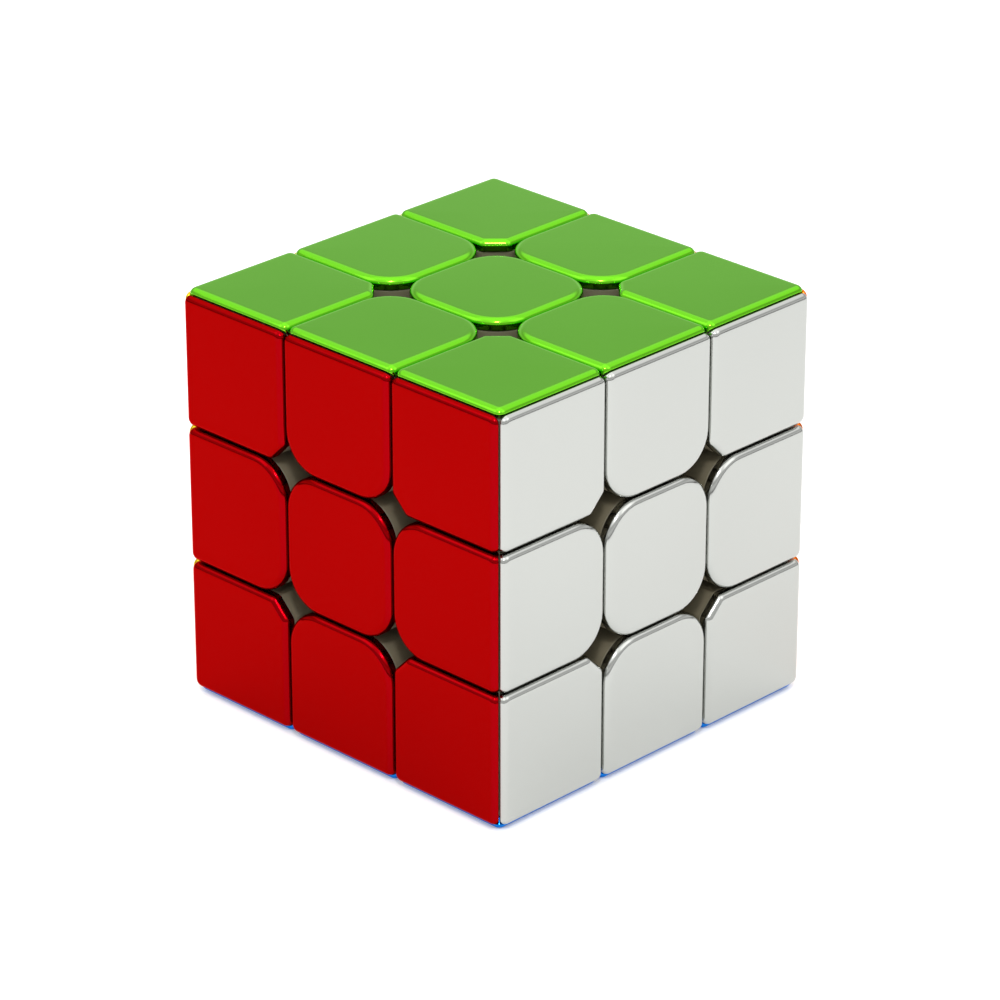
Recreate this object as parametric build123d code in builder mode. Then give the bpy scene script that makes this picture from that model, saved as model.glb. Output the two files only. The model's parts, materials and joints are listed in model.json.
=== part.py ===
# Twisty puzzle cube, three layers each way: a six-armed core, six sprung centres,
# twelve edges and eight corners, each with thin plated caps on its outward faces.
# Units are millimetres. +Z is up. The origin is the middle of the core, which is
# also the middle of the cube.
import os
from math import sqrt

from build123d import *

# ---------------------------------------------------------------- overall sizes
cube_size = 56.0
layers = 3

# ---------------------------------------------------------------- clearances
turning_gap = 0.3  # between pieces that turn past each other
cap_seam = 0.16  # between two caps where they meet on a cube edge
spring_side_gap = 0.35  # spring and screw head to the wall of the bore
plug_fit = 0.1  # centre cap's plug inside the bore
screw_fit = 0.1  # running fit of a centre's stalk on its screw

# ---------------------------------------------------------------- caps
cap_thickness = 1.5
cap_bevel = 0.9
snip_leg = 2.5  # short cut across a corner cap's inner corner

# ---------------------------------------------------------------- inner parts
stalk_wall = 1.2
stalk_floor = 2.1
pocket_wall = 1.6
spring_turns = 5
spring_wire_radius = 0.35
screw_radius = 1.3
screw_head_height = 1.9
screw_cross_width = 0.8
screw_cross_depth = 1.1
plug_wall = 0.9
plug_length = 1.4
edge_break = 0.25  # small flat along every edge of a moulded block
window_recess = 0.3  # block's window corner, back from its cap's

# ---------------------------------------------------------------- worked out
half = cube_size / 2
pitch = cube_size / layers
cut = pitch / 2  # plane between two layers
side_gap = turning_gap / 2
block_inner = cut + side_gap
block_outer = half - cap_thickness
tile_inner = cut + side_gap
edge_inset = 0.85 * cap_bevel  # cap edge to the cube's outer plane
tile_outer = half - edge_inset
tile_corner_radius = cap_bevel + 0.2
window_radius = 0.28 * pitch  # round corner that opens the star-shaped window
block_window_radius = window_radius + window_recess
block_snip_leg = snip_leg + window_recess
mitre_offset = cap_seam / sqrt(2)

foot_cut = 0.27 * pitch  # plane between two feet, nearer the core than the layer cut
foot_outer = 1.085 * pitch  # ball that the feet run inside
foot_inner = 0.7 * pitch
foot_plane = foot_cut + side_gap
stalk_half = foot_cut - side_gap
neck_top = foot_outer / sqrt(2) + 2 * stalk_wall

arm_tip = foot_inner - 1.5
arm_radius = 0.19 * pitch
hub_radius = 0.32 * pitch
stalk_bottom = arm_tip + turning_gap
spring_seat = stalk_bottom + stalk_floor
bore_radius = stalk_half - stalk_wall
spring_length = 0.32 * pitch
spring_radius = bore_radius - spring_side_gap - spring_wire_radius
screw_seat = spring_seat + spring_length
screw_tip = arm_tip / 3
screw_head_radius = bore_radius - spring_side_gap
stalk_hole_radius = screw_radius + screw_fit


def frame_of(y_dir, z_dir):
    """A frame at the middle of the cube, from the directions of its Y and Z."""
    return Plane(origin=(0, 0, 0), x_dir=Vector(y_dir).cross(Vector(z_dir)), z_dir=z_dir)


def ball(radius):
    """A plain ball about the middle of the cube."""
    with BuildPart() as solid:
        Sphere(radius)
    return solid.part


# ---------------------------------------------------------------- core and screws
up_frame = frame_of((0, 1, 0), (0, 0, 1))
face_frames = {
    "up": up_frame,
    "down": frame_of((0, 1, 0), (0, 0, -1)),
    "right": frame_of((0, 0, 1), (1, 0, 0)),
    "left": frame_of((0, 0, 1), (-1, 0, 0)),
    "back": frame_of((0, 0, 1), (0, 1, 0)),
    "front": frame_of((0, 0, 1), (0, -1, 0)),
}
all_faces = [frame.location for frame in face_frames.values()]

with BuildPart() as arm:
    with BuildSketch(Plane.XY):
        Circle(arm_radius)
    extrude(amount=arm_tip)
    chamfer(arm.faces().sort_by(Axis.Z)[-1].edges(), edge_break)

with BuildPart() as core:
    Sphere(hub_radius)
    with Locations(*all_faces):
        add(arm.part)
    for face in face_frames.values():
        with BuildSketch(face.offset(screw_tip)):
            Circle(screw_radius)
        extrude(amount=arm_tip, mode=Mode.SUBTRACT)

with BuildPart() as screw:
    with BuildSketch(Plane.XY.offset(screw_tip)):
        Circle(screw_radius)
    extrude(amount=screw_seat - screw_tip)
    with BuildSketch(Plane.XY.offset(screw_seat)):
        Circle(screw_head_radius)
    extrude(amount=screw_head_height)
    head_rim = screw.faces().sort_by(Axis.Z)[-1].edges()
    chamfer(head_rim, edge_break)
    with BuildSketch(Plane.XY.offset(screw_seat + screw_head_height)):
        Rectangle(screw_head_radius, screw_cross_width)
        Rectangle(screw_cross_width, screw_head_radius)
    extrude(amount=-screw_cross_depth, mode=Mode.SUBTRACT)

with BuildPart() as screws:
    with Locations(*all_faces):
        add(screw.part)

# ---------------------------------------------------------------- spring
spring_rise = spring_length - spring_wire_radius
spring_start = Plane.XY.offset(spring_seat + spring_wire_radius / 2)
with BuildPart() as coil:
    with BuildLine(spring_start) as coil_line:
        Helix(spring_rise / spring_turns, spring_rise, spring_radius)
    wire_plane = Plane(origin=coil_line.line @ 0, z_dir=coil_line.line % 0)
    with BuildSketch(wire_plane):
        Circle(spring_wire_radius)
    sweep(is_frenet=True)

with BuildPart() as spring:
    add(coil.part)
    with Locations((0, 0, spring_seat + spring_length / 2)):
        Box(pitch, pitch, spring_length, mode=Mode.INTERSECT)

# ---------------------------------------------------------------- moulded blocks
block_side = block_outer - block_inner
block_middle = (block_outer + block_inner) / 2
foot_side = foot_outer - foot_plane
foot_middle = (foot_outer + foot_plane) / 2

with BuildPart() as corner_foot:
    with Locations((foot_middle, foot_middle, foot_middle)):
        Box(foot_side, foot_side, foot_side)
    add(ball(foot_outer - side_gap), mode=Mode.INTERSECT)
    add(ball(foot_inner), mode=Mode.SUBTRACT)

pocket_inner = block_inner + block_snip_leg / 2 + pocket_wall
pocket_outer = block_outer - pocket_wall
pocket_side = pocket_outer - pocket_inner
pocket_middle = (pocket_outer + pocket_inner) / 2
pocket_depth = block_outer - pocket_inner

with BuildPart() as corner_base:
    with Locations((block_middle, block_middle, block_middle)):
        Box(block_side, block_side, block_side)
    for axis in (Axis.X, Axis.Y, Axis.Z):
        along = corner_base.edges().filter_by(axis)
        inner_edge = along.sort_by(lambda e: e.center().length)[0]
        chamfer(inner_edge, block_snip_leg)
    chamfer(corner_base.edges(), edge_break)
    add(corner_foot.part)
    with BuildSketch(Plane.XY.offset(block_outer)):
        with Locations((pocket_middle, pocket_middle)):
            RectangleRounded(pocket_side, pocket_side, cap_bevel)
    extrude(amount=-pocket_depth, mode=Mode.SUBTRACT)

with BuildPart() as edge_foot:
    with Locations((0, foot_middle, foot_middle)):
        Box(2 * stalk_half, foot_side, foot_side)
    add(ball(foot_outer - side_gap), mode=Mode.INTERSECT)
    neck_middle = (block_inner + neck_top) / 2
    with Locations((0, neck_middle, neck_middle)):
        Box(2 * stalk_half, neck_top - block_inner, neck_top - block_inner)
    add(ball(foot_inner), mode=Mode.SUBTRACT)

edge_pocket_length = 2 * (cut - side_gap - block_snip_leg / 2 - pocket_wall)

with BuildPart() as edge_base:
    with Locations((0, block_middle, block_middle)):
        Box(2 * (cut - side_gap), block_side, block_side)
    for axis in (Axis.Y, Axis.Z):
        along = edge_base.edges().filter_by(axis)
        inner_edges = along.sort_by(lambda e: e.center().length)[0:2]
        fillet(inner_edges, block_window_radius)
    for axis in (Axis.Y, Axis.Z):
        chamfer(edge_base.faces().sort_by(axis)[-1].edges(), edge_break)
    add(ball(foot_outer + side_gap), mode=Mode.SUBTRACT)
    add(edge_foot.part)
    with BuildSketch(Plane.XY.offset(block_outer)):
        with Locations((0, pocket_middle)):
            RectangleRounded(edge_pocket_length, pocket_side, cap_bevel)
    extrude(amount=-pocket_depth, mode=Mode.SUBTRACT)

with BuildPart() as centre_base:
    with Locations((0, 0, (foot_inner + block_outer) / 2)):
        Box(2 * (cut - side_gap), 2 * (cut - side_gap), block_outer - foot_inner)
    fillet(centre_base.edges().filter_by(Axis.Z), block_window_radius)
    chamfer(centre_base.faces().sort_by(Axis.Z)[-1].edges(), edge_break)
    add(ball(foot_outer + side_gap), mode=Mode.SUBTRACT)
    with BuildSketch(Plane.XY.offset(stalk_bottom)):
        Rectangle(2 * stalk_half, 2 * stalk_half)
    extrude(amount=foot_outer + stalk_wall - stalk_bottom)
    with BuildSketch(Plane.XY.offset(spring_seat)):
        Circle(bore_radius)
    extrude(amount=block_outer - spring_seat, mode=Mode.SUBTRACT)
    with BuildSketch(Plane.XY.offset(stalk_bottom)):
        Circle(stalk_hole_radius)
    extrude(amount=stalk_floor, mode=Mode.SUBTRACT)

# ---------------------------------------------------------------- plated caps
# The wedge is what lies past the 45 degree plane through a cube edge, so that two
# caps meet there in a fine straight seam.
with BuildPart() as mitre:
    with BuildSketch(Plane.XZ):
        with BuildLine():
            Polyline(
                (block_outer - pitch - mitre_offset, block_outer - pitch),
                (half + pitch - mitre_offset, half + pitch),
                (half + pitch, block_outer - pitch),
                close=True,
            )
        make_face()
    extrude(amount=cube_size, both=True)

tile_side = tile_outer - tile_inner
tile_middle = (tile_outer + tile_inner) / 2

with BuildPart() as corner_cap:
    with BuildSketch(Plane.XY.offset(block_outer)) as corner_tile:
        with Locations((tile_middle, tile_middle)):
            Rectangle(tile_side, tile_side)
        tips = corner_tile.vertices().sort_by(lambda v: Vector(v.X, v.Y).length)
        chamfer(tips[0], snip_leg)
        snip_tips = corner_tile.vertices().sort_by(lambda v: Vector(v.X, v.Y).length)
        fillet(snip_tips, tile_corner_radius)
    extrude(amount=cap_thickness)
    fillet(corner_cap.faces().sort_by(Axis.Z)[-1].edges(), cap_bevel)
    add(mitre.part, mode=Mode.SUBTRACT)
    add(mitre.part, rotation=(0, 0, 90), mode=Mode.SUBTRACT)

with BuildPart() as edge_cap:
    with BuildSketch(Plane.XY.offset(block_outer)) as edge_tile:
        with Locations((0, tile_middle)):
            Rectangle(2 * (cut - side_gap), tile_side)
        fillet(edge_tile.vertices().group_by(Axis.Y)[0], window_radius)
        fillet(edge_tile.vertices().group_by(Axis.Y)[-1], tile_corner_radius)
    extrude(amount=cap_thickness)
    fillet(edge_cap.faces().sort_by(Axis.Z)[-1].edges(), cap_bevel)
    add(mitre.part, rotation=(0, 0, 90), mode=Mode.SUBTRACT)

with BuildPart() as centre_cap:
    with BuildSketch(Plane.XY.offset(block_outer)):
        RectangleRounded(2 * (cut - side_gap), 2 * (cut - side_gap), window_radius)
    extrude(amount=cap_thickness)
    fillet(centre_cap.faces().sort_by(Axis.Z)[-1].edges(), cap_bevel)
    with BuildSketch(Plane.XY.offset(block_outer)):
        Circle(bore_radius - plug_fit)
        Circle(bore_radius - plug_fit - plug_wall, mode=Mode.SUBTRACT)
    extrude(amount=-plug_length)

# ---------------------------------------------------------------- save the pieces
os.makedirs("parts", exist_ok=True)


def save(part, label):
    """Write one named piece."""
    part.label = label
    export_step(part, f"parts/{label}.step")


def save_placed(part, frames, label):
    """Write copies of a piece, one in each frame, as one named piece."""
    with BuildPart() as placed:
        with Locations(*[frame.location for frame in frames]):
            add(part)
    save(placed.part, label)


save(core.part, "core")
save(screws.part, "screws")

for face, frame in face_frames.items():
    save_placed(spring.part, [frame], f"spring_{face}")
    save_placed(centre_base.part, [frame], f"centre_{face}_base")
    save_placed(centre_cap.part, [frame], f"centre_{face}_cap")

side_names = (("left", "right"), ("front", "back"), ("down", "up"))


def direction(axis, sign):
    """The unit direction along one axis, as three numbers."""
    return tuple(sign if place == axis else 0 for place in range(3))


def side_name(axis, sign):
    """The name of the cube face that looks along one axis."""
    return side_names[axis][0] if sign < 0 else side_names[axis][1]


# An edge piece is named by its two faces; the later axis comes first.
for low, high in ((1, 2), (0, 2), (0, 1)):
    for low_sign in (-1, 1):
        for high_sign in (-1, 1):
            to_low = direction(low, low_sign)
            to_high = direction(high, high_sign)
            name = f"edge_{side_name(high, high_sign)}_{side_name(low, low_sign)}"
            two_frames = [frame_of(to_low, to_high), frame_of(to_high, to_low)]
            save_placed(edge_base.part, two_frames[0:1], f"{name}_base")
            save_placed(edge_cap.part, two_frames, f"{name}_caps")

# A corner piece is named by its three faces; its caps go round in a right-handed turn.
for x_sign in (-1, 1):
    for y_sign in (-1, 1):
        for z_sign in (-1, 1):
            turn = [direction(0, x_sign), direction(1, y_sign), direction(2, z_sign)]
            if x_sign * y_sign * z_sign < 0:
                turn = [turn[1], turn[0], turn[2]]
            three_frames = [
                frame_of(turn[1], turn[2]),
                frame_of(turn[2], turn[0]),
                frame_of(turn[0], turn[1]),
            ]
            sides = (side_name(2, z_sign), side_name(1, y_sign), side_name(0, x_sign))
            name = "corner_" + "_".join(sides)
            save_placed(corner_base.part, three_frames[0:1], f"{name}_base")
            save_placed(corner_cap.part, three_frames, f"{name}_caps")
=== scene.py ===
# %% [markdown]
# # A plated puzzle cube
#
# This lesson dresses a finished mechanical model. The mechanism already stands in the
# frame: a core, screws, springs and dark moulded blocks. We give the hidden parts their
# finishes, and make the 54 shiny caps and the six springs from scratch as computed
# surfaces.

import json
from math import cos, pi, radians, sin, sqrt

import bpy
import numpy as np
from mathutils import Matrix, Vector

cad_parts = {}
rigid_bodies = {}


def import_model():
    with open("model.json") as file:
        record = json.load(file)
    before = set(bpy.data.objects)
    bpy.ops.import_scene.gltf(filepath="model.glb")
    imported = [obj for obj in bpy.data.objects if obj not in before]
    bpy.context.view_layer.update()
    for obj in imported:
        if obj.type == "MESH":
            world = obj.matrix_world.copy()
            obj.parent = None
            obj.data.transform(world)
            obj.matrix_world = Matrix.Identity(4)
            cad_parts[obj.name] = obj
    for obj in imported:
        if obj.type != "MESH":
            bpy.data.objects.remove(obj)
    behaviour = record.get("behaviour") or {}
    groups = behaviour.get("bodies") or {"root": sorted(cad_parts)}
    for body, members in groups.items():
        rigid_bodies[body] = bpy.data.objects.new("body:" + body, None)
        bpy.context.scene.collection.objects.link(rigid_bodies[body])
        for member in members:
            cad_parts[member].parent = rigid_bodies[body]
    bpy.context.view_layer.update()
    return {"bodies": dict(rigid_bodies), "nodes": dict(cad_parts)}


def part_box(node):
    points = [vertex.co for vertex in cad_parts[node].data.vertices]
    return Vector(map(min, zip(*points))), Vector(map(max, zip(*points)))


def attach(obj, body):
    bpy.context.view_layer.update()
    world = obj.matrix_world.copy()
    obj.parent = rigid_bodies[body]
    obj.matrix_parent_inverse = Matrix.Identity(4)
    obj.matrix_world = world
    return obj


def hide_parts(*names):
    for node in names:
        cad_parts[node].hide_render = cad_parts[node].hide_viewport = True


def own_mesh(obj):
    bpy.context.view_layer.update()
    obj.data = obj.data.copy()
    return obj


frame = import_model()
nodes = frame["nodes"]


def put_in_scene(thing):
    """Link a new object to the scene, without which Blender never draws it."""
    bpy.context.scene.collection.objects.link(thing)


# %% [markdown]
# ## Sizes
#
# Everything on the outside follows from three numbers: the side of the cube, how thick a
# cap is, and how far its rim rolls over. Writing the rest as sums of these keeps the parts
# of a cap in step, just as a drawing office would.

# %% Sizes in metres
MM = 0.001
SIDE = 56.0 * MM
HALF = SIDE / 2
CUT = SIDE / 6  # from the middle to the plane between two layers
SIDE_GAP = 0.15 * MM  # each piece stays this far back from the plane
CAP_THICKNESS = 1.5 * MM
BEVEL = 0.9 * MM
RIM_INSET = 0.85 * BEVEL  # a cap's rim to the cube's outer plane
CAP_SEAM = 0.16 * MM  # the gap between two caps that meet on a cube edge
MITRE = CAP_SEAM / sqrt(2)
CORNER_RADIUS = BEVEL + 0.2 * MM
WINDOW_RADIUS = 0.28 * SIDE / 3  # the wide round corners that open a window
SNIP = 2.5 * MM  # how far a corner cap is cut back at its window
DOME = 0.02 * MM  # how much lower a cap's flat is at its rim than at its middle

TILE_IN = CUT + SIDE_GAP
TILE_OUT = HALF - RIM_INSET

# %% [markdown]
# ## The outline of a cap
#
# A cap's outline is a polygon with rounded corners. The trick for such a shape is to
# store, for every point round it, the middle of the corner's arc, its radius and the
# direction outward. A point is then `middle + radius * direction`, and the same outline
# shrunk by a distance is only a smaller radius about the same middle. That is how a
# bevel can be carried round any outline without a single special case.

# %% Rounded outlines
ARC_STEPS = 10
SIDE_STEPS = 8


def rounded_outline(corners, radii):
    """Arc middles, radii and outward directions round a convex polygon, anticlockwise.

    Each corner's arc is centred where both neighbouring sides are one radius away. On
    the straight sides the three values run evenly from one arc's end to the next's start.
    """
    corners = np.array(corners, float)
    radii = np.array(radii, float)
    along = np.roll(corners, -1, axis=0) - corners
    along /= np.linalg.norm(along, axis=1)[:, None]
    outward = np.stack([along[:, 1], -along[:, 0]], axis=1)
    before = np.roll(outward, 1, axis=0)
    lean = 1.0 + np.sum(before * outward, axis=1)
    middles = corners - radii[:, None] * (before + outward) / lean[:, None]
    start = np.arctan2(before[:, 1], before[:, 0])
    sweep = np.arctan2(outward[:, 1], outward[:, 0]) - start
    sweep = np.mod(sweep, 2 * pi)
    steps = np.linspace(0.0, 1.0, ARC_STEPS + 1)
    angle = start[:, None] + sweep[:, None] * steps[None, :]
    arc_dir = np.stack([np.cos(angle), np.sin(angle)], axis=2)
    arc_mid = np.repeat(middles[:, None, :], ARC_STEPS + 1, axis=1)
    arc_rad = np.repeat(radii[:, None], ARC_STEPS + 1, axis=1)
    side_t = np.linspace(0.0, 1.0, SIDE_STEPS + 1)[1:-1]
    next_mid = np.roll(middles, -1, axis=0)
    next_rad = np.roll(radii, -1)
    side_mid = middles[:, None, :] + (next_mid - middles)[:, None, :] * side_t[None, :, None]
    side_rad = radii[:, None] + (next_rad - radii)[:, None] * side_t[None, :]
    side_dir = np.repeat(outward[:, None, :], SIDE_STEPS - 1, axis=1)
    mid = np.concatenate([arc_mid, side_mid], axis=1).reshape(-1, 2)
    rad = np.concatenate([arc_rad, side_rad], axis=1).reshape(-1)
    way = np.concatenate([arc_dir, side_dir], axis=1).reshape(-1, 2)
    return mid, rad, way


def corner_outline():
    """A square tile with its inner corner cut off short."""
    low, high = TILE_IN, TILE_OUT
    corners = [(low + SNIP, low), (high, low), (high, high), (low, high), (low, low + SNIP)]
    return rounded_outline(corners, [CORNER_RADIUS] * 5)


def edge_outline():
    """A tile with two wide round corners on its inner side."""
    low, high = TILE_IN, TILE_OUT
    reach = CUT - SIDE_GAP
    corners = [(-reach, low), (reach, low), (reach, high), (-reach, high)]
    return rounded_outline(corners, [WINDOW_RADIUS, WINDOW_RADIUS, CORNER_RADIUS, CORNER_RADIUS])


def centre_outline():
    """A tile with four wide round corners."""
    reach = CUT - SIDE_GAP
    corners = [(-reach, -reach), (reach, -reach), (reach, reach), (-reach, reach)]
    return rounded_outline(corners, [WINDOW_RADIUS] * 4)


outline_of = {"corner": corner_outline(), "edge": edge_outline(), "centre": centre_outline()}
print("points round a corner cap:", len(outline_of["corner"][1]))

# %% [markdown]
# ## The skin of a cap
#
# Cut a cap across its rim and you see its profile: a flat top with a trace of crown, a
# quarter circle, a short wall and the underside. The surface is that profile carried
# round the outline, which makes one grid of rows by points. Two caps that meet on a cube
# edge share a 45 degree seam, and one `minimum` on the whole array makes that mitre.

# %% Profile rows
BEVEL_ROWS = 12
FLAT_RINGS = np.array([0.25, 0.5, 0.75, 0.9, 0.97])
WALL_DEPTHS = np.array([1.15 * MM, 1.4 * MM, CAP_THICKNESS])
UNDERSIDE_RING = 0.6  # the ring that closes the underside, as a share of the rim


def cap_grid(kind, outer_sides):
    """Rows of points (rows, points, 3) for one cap, in the frame of its own face.

    Flat rings scale the bevel's first row towards the middle of the tile, with the crown
    falling as the square of the scale. Bevel rows move in by r(1 - sin a) and down by
    r(1 - cos a). Wall rows go straight down, and the last row closes the underside.
    outer_sides says along which axes the cap reaches a cube edge and is mitred. Round a
    corner between two such sides, the arc shrinks by as much as the mitre takes.
    """
    mid, rad, way = outline_of[kind]
    turn = np.linspace(0.0, pi / 2, BEVEL_ROWS)
    inset = np.concatenate([BEVEL * (1 - np.sin(turn)), np.zeros(len(WALL_DEPTHS))])
    depth = np.concatenate([DOME + (BEVEL - DOME) * (1 - np.cos(turn)), WALL_DEPTHS])
    mitred = np.maximum(0.0, (TILE_OUT - inset) - (HALF - MITRE - depth))
    between = (way.min(axis=1) > 0) & (len(outer_sides) == 2)
    shrink = inset[:, None] + mitred[:, None] * between[None]
    rim = mid[None] + (rad[None] - shrink)[:, :, None] * way[None]
    down = np.repeat(depth[:, None], rim.shape[1], axis=1)
    heart = rim[0].mean(axis=0)
    rings = heart + FLAT_RINGS[:, None, None] * (rim[0] - heart)[None]
    ring_down = np.repeat((DOME * FLAT_RINGS**2)[:, None], rim.shape[1], axis=1)
    flat = np.concatenate([rings, rim])
    down = np.concatenate([ring_down, down])
    for axis in outer_sides:
        flat[:, :, axis] = np.minimum(flat[:, :, axis], HALF - MITRE - down)
    under = heart + UNDERSIDE_RING * (flat[-1:] - heart)
    flat = np.concatenate([flat, under])
    down = np.concatenate([down, down[-1:]])
    return np.concatenate([flat, (HALF - down)[:, :, None]], axis=2), heart


def grid_mesh(name, grid, top, bottom, turn):
    """A closed mesh from a grid of rows, with a point above the first and below the last.

    turn is the 3 by 3 matrix from the piece's own frame to the cube's frame.
    """
    rows, count = grid.shape[:2]
    points = np.concatenate([grid.reshape(-1, 3), [top], [bottom]]) @ turn.T
    here = np.arange(count)
    after = np.roll(here, -1)
    row = np.arange(rows - 1)[:, None] * count
    quads = np.stack([row + here, row + count + here, row + count + after, row + after], axis=2)
    quads = quads.reshape(-1, 4)
    first = np.stack([np.full(count, rows * count), here, after], axis=1)
    last_row = (rows - 1) * count
    last = np.stack([np.full(count, rows * count + 1), last_row + after, last_row + here], axis=1)
    faces = quads.tolist() + first.tolist() + last.tolist()
    mesh = bpy.data.meshes.new(name)
    mesh.from_pydata(points.tolist(), [], faces)
    mesh.polygons.foreach_set("use_smooth", np.ones(len(mesh.polygons), bool))
    mesh.update()
    return mesh


# %% [markdown]
# ## Effects shared between finishes
#
# Fine grain and a little dust turn up on more than one material, so each one is a
# node group with named sockets. A group gives back only numbers and colours. The
# surface shader itself stays in the material, where you can see it.


# %% Building blocks for node groups
def new_group(name, inputs, outputs):
    """An empty shader group with float inputs (name, default) and typed outputs."""
    tree = bpy.data.node_groups.new(name, "ShaderNodeTree")
    for label, default in inputs:
        socket = tree.interface.new_socket(name=label, in_out="INPUT", socket_type="NodeSocketFloat")
        socket.default_value = default
    for label, kind in outputs:
        tree.interface.new_socket(name=label, in_out="OUTPUT", socket_type=kind)
    entry = tree.nodes.new("NodeGroupInput")
    leave = tree.nodes.new("NodeGroupOutput")
    return tree, entry, leave


def add_math(tree, operation, first, second):
    """A maths node; each side is a number or another node's output."""
    node = tree.nodes.new("ShaderNodeMath")
    node.operation = operation
    for socket, value in zip(node.inputs, (first, second)):
        if isinstance(value, (int, float)):
            socket.default_value = value
        else:
            tree.links.new(value, socket)
    return node.outputs[0]


def add_noise(tree, where, scale, detail):
    """A noise texture read at a place, with its scale a number or an output."""
    node = tree.nodes.new("ShaderNodeTexNoise")
    tree.links.new(where, node.inputs["Vector"])
    node.inputs["Detail"].default_value = detail
    if isinstance(scale, (int, float)):
        node.inputs["Scale"].default_value = scale
    else:
        tree.links.new(scale, node.inputs["Scale"])
    return node.outputs["Fac"]


FLOAT = "NodeSocketFloat"

# %% [markdown]
# ### Fine grain
#
# Moulded and plated skins are never dead smooth. Two sizes of noise make a shallow
# waviness and a finer grain on top of it.

# %% Group: fine grain
WAVE_TO_GRAIN = 0.12  # scale of the wide noise against the fine one
grain, grain_in, grain_out = new_group(
    "Fine Grain", [("Scale", 900.0), ("Waviness", 0.5)], [("Height", FLOAT), ("Patchiness", FLOAT)]
)
grain_place = grain.nodes.new("ShaderNodeTexCoord").outputs["Object"]
fine = add_noise(grain, grain_place, grain_in.outputs["Scale"], 3.0)
wide_scale = add_math(grain, "MULTIPLY", grain_in.outputs["Scale"], WAVE_TO_GRAIN)
wide = add_noise(grain, grain_place, wide_scale, 1.0)
wave = add_math(grain, "MULTIPLY", wide, grain_in.outputs["Waviness"])
grain.links.new(add_math(grain, "ADD", fine, wave), grain_out.inputs["Height"])
grain.links.new(wide, grain_out.inputs["Patchiness"])

# %% [markdown]
# ### Settled dust
#
# Dust shows on faces that look up, in scattered specks. The mask is a few Voronoi cells,
# cut down to dots, times how far the surface faces the sky.

# %% Group: settled dust
DOT_RADIUS = 0.09  # of a cell
BARE_CELLS = 0.96  # this share of the cells has no dot
LEAST_DUST = 0.05  # what still clings to walls and undersides
dust, dust_in, dust_out = new_group(
    "Settled Dust", [("Specks", 700.0), ("Amount", 0.5)], [("Mask", FLOAT)]
)
dust_place = dust.nodes.new("ShaderNodeTexCoord").outputs["Object"]
cells = dust.nodes.new("ShaderNodeTexVoronoi")
dust.links.new(dust_place, cells.inputs["Vector"])
dust.links.new(dust_in.outputs["Specks"], cells.inputs["Scale"])
dot = add_math(dust, "LESS_THAN", cells.outputs["Distance"], DOT_RADIUS)
cell_pick = dust.nodes.new("ShaderNodeSeparateColor")
dust.links.new(cells.outputs["Color"], cell_pick.inputs["Color"])
rare = add_math(dust, "GREATER_THAN", cell_pick.outputs["Red"], BARE_CELLS)
facing = dust.nodes.new("ShaderNodeSeparateXYZ")
dust.links.new(dust.nodes.new("ShaderNodeNewGeometry").outputs["Normal"], facing.inputs["Vector"])
upward = add_math(dust, "MAXIMUM", facing.outputs["Z"], LEAST_DUST)
speck = add_math(dust, "MULTIPLY", add_math(dust, "MULTIPLY", dot, rare), upward)
dust.links.new(
    add_math(dust, "MULTIPLY", speck, dust_in.outputs["Amount"]), dust_out.inputs["Mask"]
)
print("groups:", [tree.name for tree in bpy.data.node_groups])

# %% [markdown]
# ## Finishes
#
# The caps are vacuum plated: a thin mirror of metal under a clear dye. Metal colour with
# a soft roughness gives the even satin flats, and a clear coat over it gives the sharp
# highlights that run along the rolled rims. The blocks are plain dark plastic straight
# from the mould.


# %% Material helper
def new_material(name):
    """A material, its node tree and its Principled shader."""
    material = bpy.data.materials.new(name)
    material.use_nodes = True
    tree = material.node_tree
    shader = tree.nodes["Principled BSDF"]
    return material, tree, shader


def use_group(tree, group, **values):
    """Put a group in a material and set its inputs by name."""
    node = tree.nodes.new("ShaderNodeGroup")
    node.node_tree = group
    for label, value in values.items():
        node.inputs[label].default_value = value
    return node


COLOUR_INPUTS = (6, 7)  # a Mix node has a pair of sockets per data type, with equal names
COLOUR_OUTPUT = 2


def mix_colour(tree, factor, first, second):
    """Blend two colours; each is a colour or an output."""
    node = tree.nodes.new("ShaderNodeMix")
    node.data_type = "RGBA"
    tree.links.new(factor, node.inputs["Factor"])
    for place, value in zip(COLOUR_INPUTS, (first, second)):
        socket = node.inputs[place]
        if isinstance(value, tuple):
            socket.default_value = (*value, 1.0)
        else:
            tree.links.new(value, socket)
    return node.outputs[COLOUR_OUTPUT]


def add_gloss(tree, shader, patchiness, spread, least):
    """Roughness that runs from least to least + spread with the patches."""
    patchy = add_math(tree, "MULTIPLY", patchiness, spread)
    tree.links.new(add_math(tree, "ADD", patchy, least), shader.inputs["Roughness"])


def add_bump(tree, shader, height, strength, distance):
    """Feed a height to the shader's normal."""
    bump = tree.nodes.new("ShaderNodeBump")
    bump.inputs["Strength"].default_value = strength
    bump.inputs["Distance"].default_value = distance
    tree.links.new(height, bump.inputs["Height"])
    tree.links.new(bump.outputs["Normal"], shader.inputs["Normal"])
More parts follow.
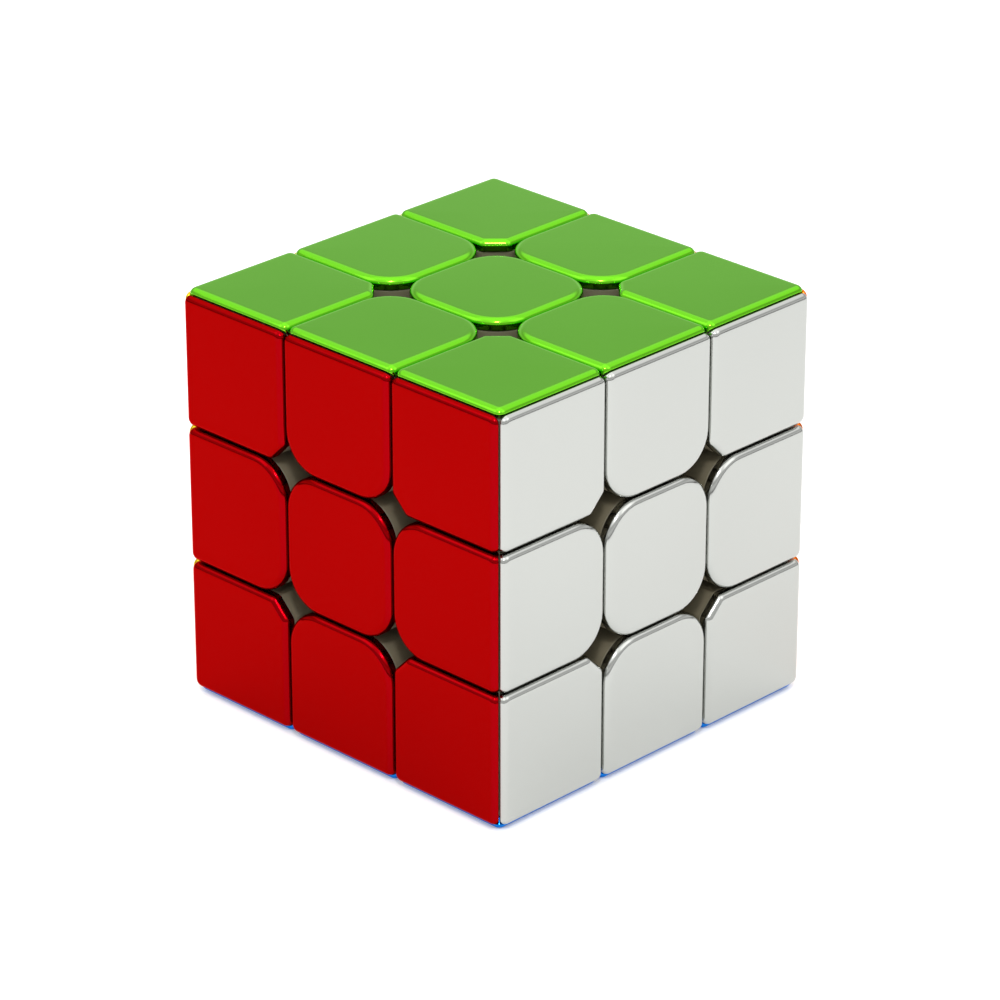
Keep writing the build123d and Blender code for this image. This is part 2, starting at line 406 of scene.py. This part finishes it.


# %% [markdown]
# ## Plating
#
# Each side of the cube has a material name, the colour of its metal seen straight on,
# and the tint that its reflection keeps at a grazing angle. A strong dye keeps its colour
# there, and bare silver doesn't.

# %% Plated colours
DUST_COLOUR = (0.62, 0.60, 0.57)
DEEP_PATCH = 0.93  # brightness of the deeper patches
plating = {
    "up": ("plated_green", (0.135, 0.53, 0.015), (0.95, 1.0, 0.85)),
    "down": ("plated_blue", (0.01, 0.17, 0.62), (0.5, 0.8, 1.0)),
    "right": ("plated_silver", (0.44, 0.449, 0.428), (1.0, 1.0, 1.0)),
    "left": ("plated_gold", (0.62, 0.43, 0.02), (1.0, 0.85, 0.3)),
    "back": ("plated_orange", (0.60, 0.13, 0.005), (1.0, 0.5, 0.15)),
    "front": ("plated_red", (0.29, 0.0, 0.002), (1.0, 0.05, 0.05)),
}


def plated(name, colour, rim_tint):
    """Dyed metal plating: soft mirror, faint patches, fine ripple, a few dust specks."""
    material, tree, shader = new_material(name)
    ripple = use_group(tree, grain, Scale=260.0, Waviness=1.2)
    specks = use_group(tree, dust, Specks=800.0, Amount=0.12)
    deep = tuple(DEEP_PATCH * part for part in colour)
    tint = mix_colour(tree, ripple.outputs["Patchiness"], deep, colour)
    worn = mix_colour(tree, specks.outputs["Mask"], tint, DUST_COLOUR)
    tree.links.new(worn, shader.inputs["Base Color"])
    bare_metal = add_math(tree, "SUBTRACT", 1.0, specks.outputs["Mask"])
    tree.links.new(bare_metal, shader.inputs["Metallic"])
    add_gloss(tree, shader, ripple.outputs["Patchiness"], spread=0.06, least=0.13)
    shader.inputs["Specular Tint"].default_value = (*rim_tint, 1.0)
    shader.inputs["Coat Weight"].default_value = 0.02
    shader.inputs["Coat Roughness"].default_value = 0.04
    add_bump(tree, shader, ripple.outputs["Height"], strength=0.02, distance=0.2 * MM)
    return material


plated_of = {side: plated(*recipe) for side, recipe in plating.items()}


# %% Moulded, turned and wound parts
MOULDED_PALE = 1.25  # brightness of the paler patches
STEEL_PALE = 1.15


def moulded(name, colour, roughness, grain_size):
    """Moulded plastic: faint grain, patchy gloss, dust where it faces up."""
    material, tree, shader = new_material(name)
    skin = use_group(tree, grain, Scale=grain_size, Waviness=0.6)
    specks = use_group(tree, dust, Specks=900.0, Amount=0.5)
    pale = tuple(min(1.0, MOULDED_PALE * part) for part in colour)
    tint = mix_colour(tree, skin.outputs["Patchiness"], colour, pale)
    dusty = mix_colour(tree, specks.outputs["Mask"], tint, DUST_COLOUR)
    tree.links.new(dusty, shader.inputs["Base Color"])
    add_gloss(tree, shader, skin.outputs["Patchiness"], spread=0.15, least=roughness)
    add_bump(tree, shader, skin.outputs["Height"], strength=0.15, distance=0.05 * MM)
    return material


def steel(name, colour, roughness):
    """Drawn or turned steel: fine grain and a little unevenness in its gloss."""
    material, tree, shader = new_material(name)
    skin = use_group(tree, grain, Scale=2400.0, Waviness=0.8)
    pale = tuple(min(1.0, STEEL_PALE * part) for part in colour)
    tint = mix_colour(tree, skin.outputs["Patchiness"], colour, pale)
    tree.links.new(tint, shader.inputs["Base Color"])
    shader.inputs["Metallic"].default_value = 1.0
    add_gloss(tree, shader, skin.outputs["Patchiness"], spread=0.2, least=roughness)
    add_bump(tree, shader, skin.outputs["Height"], strength=0.2, distance=0.03 * MM)
    return material


block_finish = moulded("block plastic", (0.17, 0.15, 0.10), 0.38, 1500.0)
core_finish = moulded("core plastic", (0.78, 0.78, 0.76), 0.38, 1200.0)
screw_finish = steel("screw steel", (0.62, 0.61, 0.59), 0.22)
spring_finish = steel("spring steel", (0.48, 0.47, 0.46), 0.18)



# %% Finish the parts that are already there
def finish_of(label):
    """The finish for a CAD node; caps get one too, though new caps will hide them."""
    if label == "core":
        return core_finish
    if label == "screws":
        return screw_finish
    if label.startswith("spring"):
        return spring_finish
    if label.endswith("_base"):
        return block_finish
    return plated_of["up"]


for label, node in nodes.items():
    node.data.materials.clear()
    node.data.materials.append(finish_of(label))
print("finishes:", len(bpy.data.materials))

# %% [markdown]
# ## Fitting the caps
#
# A cap is worked out once, on the top of the cube, and then turned to its place. The turn
# is built from where its own Y and Z should point. Each cap rides on the piece it is
# glued to, so that it goes along when a face is turned.

# %% Directions
TOWARDS = {
    "right": (1, 0, 0),
    "left": (-1, 0, 0),
    "back": (0, 1, 0),
    "front": (0, -1, 0),
    "up": (0, 0, 1),
    "down": (0, 0, -1),
}


def side_next_to(face):
    """Any side that touches a face, to say which way round a piece lies on it."""
    return "up" if face in ("front", "back") else "back"


def turn_to(own_y, own_z):
    """The matrix that takes a piece's own frame to the one with those two directions."""
    y_way = np.array(TOWARDS[own_y], float)
    z_way = np.array(TOWARDS[own_z], float)
    return np.stack([np.cross(y_way, z_way), y_way, z_way], axis=1)


def fit_cap(kind, body, face, neighbour, outer_sides):
    """Make one cap on a face, ride it on its body and let it stand for the CAD caps."""
    grid, heart = cap_grid(kind, outer_sides)
    top = (heart[0], heart[1], HALF)
    bottom = (heart[0], heart[1], HALF - CAP_THICKNESS)
    name = f"cap_{body}_{face}"
    mesh = grid_mesh(name, grid, top, bottom, turn_to(neighbour, face))
    cap = bpy.data.objects.new(name, mesh)
    put_in_scene(cap)
    mesh.materials.append(plated_of[face])
    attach(cap, body)
    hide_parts(f"{body}_cap" if kind == "centre" else f"{body}_caps")
    return cap


# %% Make all the caps
caps = []
for body in frame["bodies"]:
    kind, *sides = body.split("_")
    if kind == "centre":
        caps.append(fit_cap("centre", body, sides[0], side_next_to(sides[0]), ()))
    elif kind == "edge":
        caps.append(fit_cap("edge", body, sides[0], sides[1], (1,)))
        caps.append(fit_cap("edge", body, sides[1], sides[0], (1,)))
    elif kind == "corner":
        for face in sides:
            first, second = [other for other in sides if other != face]
            right_handed = np.cross(TOWARDS[first], TOWARDS[face]) @ TOWARDS[second] > 0
            caps.append(fit_cap("corner", body, face, first if right_handed else second, (0, 1)))
print("caps made:", len(caps))

# %% [markdown]
# ## Wound springs
#
# When a centre lifts, its spring is squeezed under the screw head. Each spring is wound
# again here as a round wire along a helix, with slightly closer turns at both ends and
# ground flat where it sits.

# %% Wind the springs
WIRE = 0.35 * MM  # radius of the spring wire
TURNS = 5
TURN_STEPS = 64
WIRE_STEPS = 20
END_CLOSING = 0.25  # how much closer the first and last turns lie
END_MIDDLE = 0.75 * WIRE  # from a ground end to the middle of the cut wire


def coil_grid(low, high, coil_radius):
    """Rings round a helix about Z: height grows with the turn, slower at both ends.

    A ring's points are the wire's middle plus the wire radius times the cosine outward
    and the sine upward. Heights are then held between low and high, which grinds the
    two ends flat.
    """
    along = np.linspace(0.0, 1.0, TURNS * TURN_STEPS + 1)
    climb = along - END_CLOSING * np.sin(2 * pi * along) / (2 * pi)
    height = low + WIRE / 2 + (high - low - WIRE) * climb
    around = 2 * pi * TURNS * along[:, None]
    about_wire = 2 * pi * np.arange(WIRE_STEPS) / WIRE_STEPS
    reach = coil_radius + WIRE * np.cos(about_wire)
    rise = np.clip(height[:, None] + WIRE * np.sin(about_wire), low, high)
    grid = np.stack([reach * np.cos(around), reach * np.sin(around), rise], axis=2)
    start = (coil_radius, 0.0, low + END_MIDDLE)
    finish = (coil_radius, 0.0, high - END_MIDDLE)
    return grid, start, finish


coil_low, coil_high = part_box("spring_up")
coil, coil_start, coil_finish = coil_grid(coil_low[2], coil_high[2], coil_high[0] - WIRE)
for face, way in TOWARDS.items():
    lie = turn_to(side_next_to(face), face)
    mesh = grid_mesh(f"coil_{face}", coil, coil_start, coil_finish, lie)
    mesh.materials.append(spring_finish)
    spring = bpy.data.objects.new(f"coil_{face}", mesh)
    put_in_scene(spring)
    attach(spring, f"rotor_{face}")
    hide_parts(f"spring_{face}")
    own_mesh(spring)

# %% [markdown]
# ## Table, light and camera
#
# Plating shows nothing but what stands round it, so the light is part of the finish. A
# pale table, which also glows a little by itself as painted light, gives the side faces their
# even glow, a dim band at the horizon draws the fine dark line along each rolled rim, and wide soft
# lamps above fill the rims.

# %% Table
TABLE_RINGS = np.array([0.02, 0.05, 0.12, 0.3, 0.7, 1.5])  # radii, in metres
TABLE_POINTS = 96
TABLE_GLOW = 0.18  # lifts the shadow at the foot of the cube


def table_mesh():
    """A flat disc: rings of points about the foot of the cube, closed at the middle."""
    angle = np.linspace(0.0, 2 * pi, TABLE_POINTS, endpoint=False)
    ring = np.stack([np.cos(angle), np.sin(angle), np.zeros(TABLE_POINTS)], axis=1)
    points = (TABLE_RINGS[:, None, None] * ring[None]).reshape(-1, 3)
    points[:, 2] = -HALF
    points = np.concatenate([points, [[0.0, 0.0, -HALF]]])
    here = np.arange(TABLE_POINTS)
    after = np.roll(here, -1)
    row = np.arange(len(TABLE_RINGS) - 1)[:, None] * TABLE_POINTS
    quads = np.stack(
        [row + here, row + TABLE_POINTS + here, row + TABLE_POINTS + after, row + after], axis=2
    )
    middle = np.stack([np.full(TABLE_POINTS, len(points) - 1), here, after], axis=1)
    mesh = bpy.data.meshes.new("table")
    mesh.from_pydata(points.tolist(), [], quads.reshape(-1, 4).tolist() + middle.tolist())
    mesh.update()
    return mesh


table = bpy.data.objects.new("table", table_mesh())
put_in_scene(table)
table_finish, _, table_shader = new_material("pale table")
table_shader.inputs["Base Color"].default_value = (0.90, 0.90, 0.90, 1.0)
table_shader.inputs["Roughness"].default_value = 0.55
# Painted light: the table glows by itself, though it is no lamp, which lifts the shadow at the foot
# of the cube.
table_shader.inputs["Emission Color"].default_value = (1.0, 1.0, 1.0, 1.0)
table_shader.inputs["Emission Strength"].default_value = TABLE_GLOW
table.data.materials.append(table_finish)

# %% [markdown]
# ### Sky
#
# The sky is a ramp of grey over the height of the ray, from 0 at the horizon to 1 straight
# up. The top faces mirror the calmer band near 0.4, and the rims mirror everything else.

# %% Sky
SKY_STRENGTH = 0.8
SKY_STOPS = [
    (0.0, 0.08),
    (0.05, 0.12),
    (0.10, 1.15),
    (0.28, 1.25),
    (0.37, 0.88),
    (0.47, 0.86),
    (0.60, 1.9),
    (1.0, 1.9),
]
sky = bpy.data.worlds.new("studio")
bpy.context.scene.world = sky
sky.use_nodes = True
sky_tree = sky.node_tree
sky_tree.nodes.clear()
sky_way = sky_tree.nodes.new("ShaderNodeTexCoord").outputs["Generated"]
sky_split = sky_tree.nodes.new("ShaderNodeSeparateXYZ")
sky_tree.links.new(sky_way, sky_split.inputs["Vector"])
sky_ramp = sky_tree.nodes.new("ShaderNodeValToRGB")
sky_tree.links.new(sky_split.outputs["Z"], sky_ramp.inputs["Fac"])
ramp = sky_ramp.color_ramp
while len(ramp.elements) < len(SKY_STOPS):
    ramp.elements.new(0.5)
for element, (height, level) in zip(ramp.elements, SKY_STOPS):
    element.position = height
    element.color = (level, level, level, 1.0)
sky_light = sky_tree.nodes.new("ShaderNodeBackground")
sky_light.inputs["Strength"].default_value = SKY_STRENGTH
sky_tree.links.new(sky_ramp.outputs["Color"], sky_light.inputs["Color"])
sky_end = sky_tree.nodes.new("ShaderNodeOutputWorld")
sky_tree.links.new(sky_light.outputs["Background"], sky_end.inputs["Surface"])
print("sky bands:", len(ramp.elements))


# %% Lamps
LAMP_DISTANCE = 0.9


def way_to(azimuth, elevation):
    """The direction from the cube at an angle round Z, counted from +X, and a height."""
    az, el = radians(azimuth), radians(elevation)
    return Vector((cos(el) * cos(az), cos(el) * sin(az), sin(el)))


def aim(thing, target):
    """Turn a lamp or a camera, which both look along their own -Z, to a point."""
    thing.rotation_euler = (target - thing.location).to_track_quat("-Z", "Y").to_euler()


def soft_lamp(name, azimuth, elevation, width, power):
    """A square soft lamp that looks at the cube."""
    lamp_data = bpy.data.lights.new(name, "AREA")
    lamp_data.shape = "SQUARE"
    lamp_data.size = width
    lamp_data.energy = power
    lamp = bpy.data.objects.new(name, lamp_data)
    lamp.location = way_to(azimuth, elevation) * LAMP_DISTANCE
    aim(lamp, Vector((0.0, 0.0, 0.0)))
    put_in_scene(lamp)


soft_lamp("lamp overhead", azimuth=0.0, elevation=89.0, width=0.9, power=1.0)
soft_lamp("lamp left", azimuth=-125.0, elevation=42.0, width=0.5, power=0.7)
soft_lamp("lamp right", azimuth=20.0, elevation=42.0, width=0.5, power=0.7)
soft_lamp("lamp key", azimuth=-45.0, elevation=50.0, width=0.10, power=2.2)
print("lamps:", len(bpy.data.lights))

# %% [markdown]
# ### Camera
#
# A long lens from well back keeps the edges of the cube nearly parallel.

# %% Camera
CAMERA_AZIMUTH = -45.5
CAMERA_ELEVATION = 24.8
CAMERA_DISTANCE = 0.587
LENS = 166.8  # focal length in millimetres, on a sensor as wide as the next line says
SENSOR_WIDTH = 36.0
LOOK_AT = Vector((0.00032, 0.00031, -0.0013))
camera_data = bpy.data.cameras.new("camera")
camera_data.lens = LENS
camera_data.sensor_width = SENSOR_WIDTH
camera_data.clip_start = 0.01
camera_data.clip_end = 20.0
camera = bpy.data.objects.new("camera", camera_data)
camera.location = way_to(CAMERA_AZIMUTH, CAMERA_ELEVATION) * CAMERA_DISTANCE
aim(camera, LOOK_AT)
put_in_scene(camera)
bpy.context.scene.camera = camera
bpy.context.scene.view_settings.view_transform = "Standard"
print("camera at:", [round(value, 3) for value in camera.location])
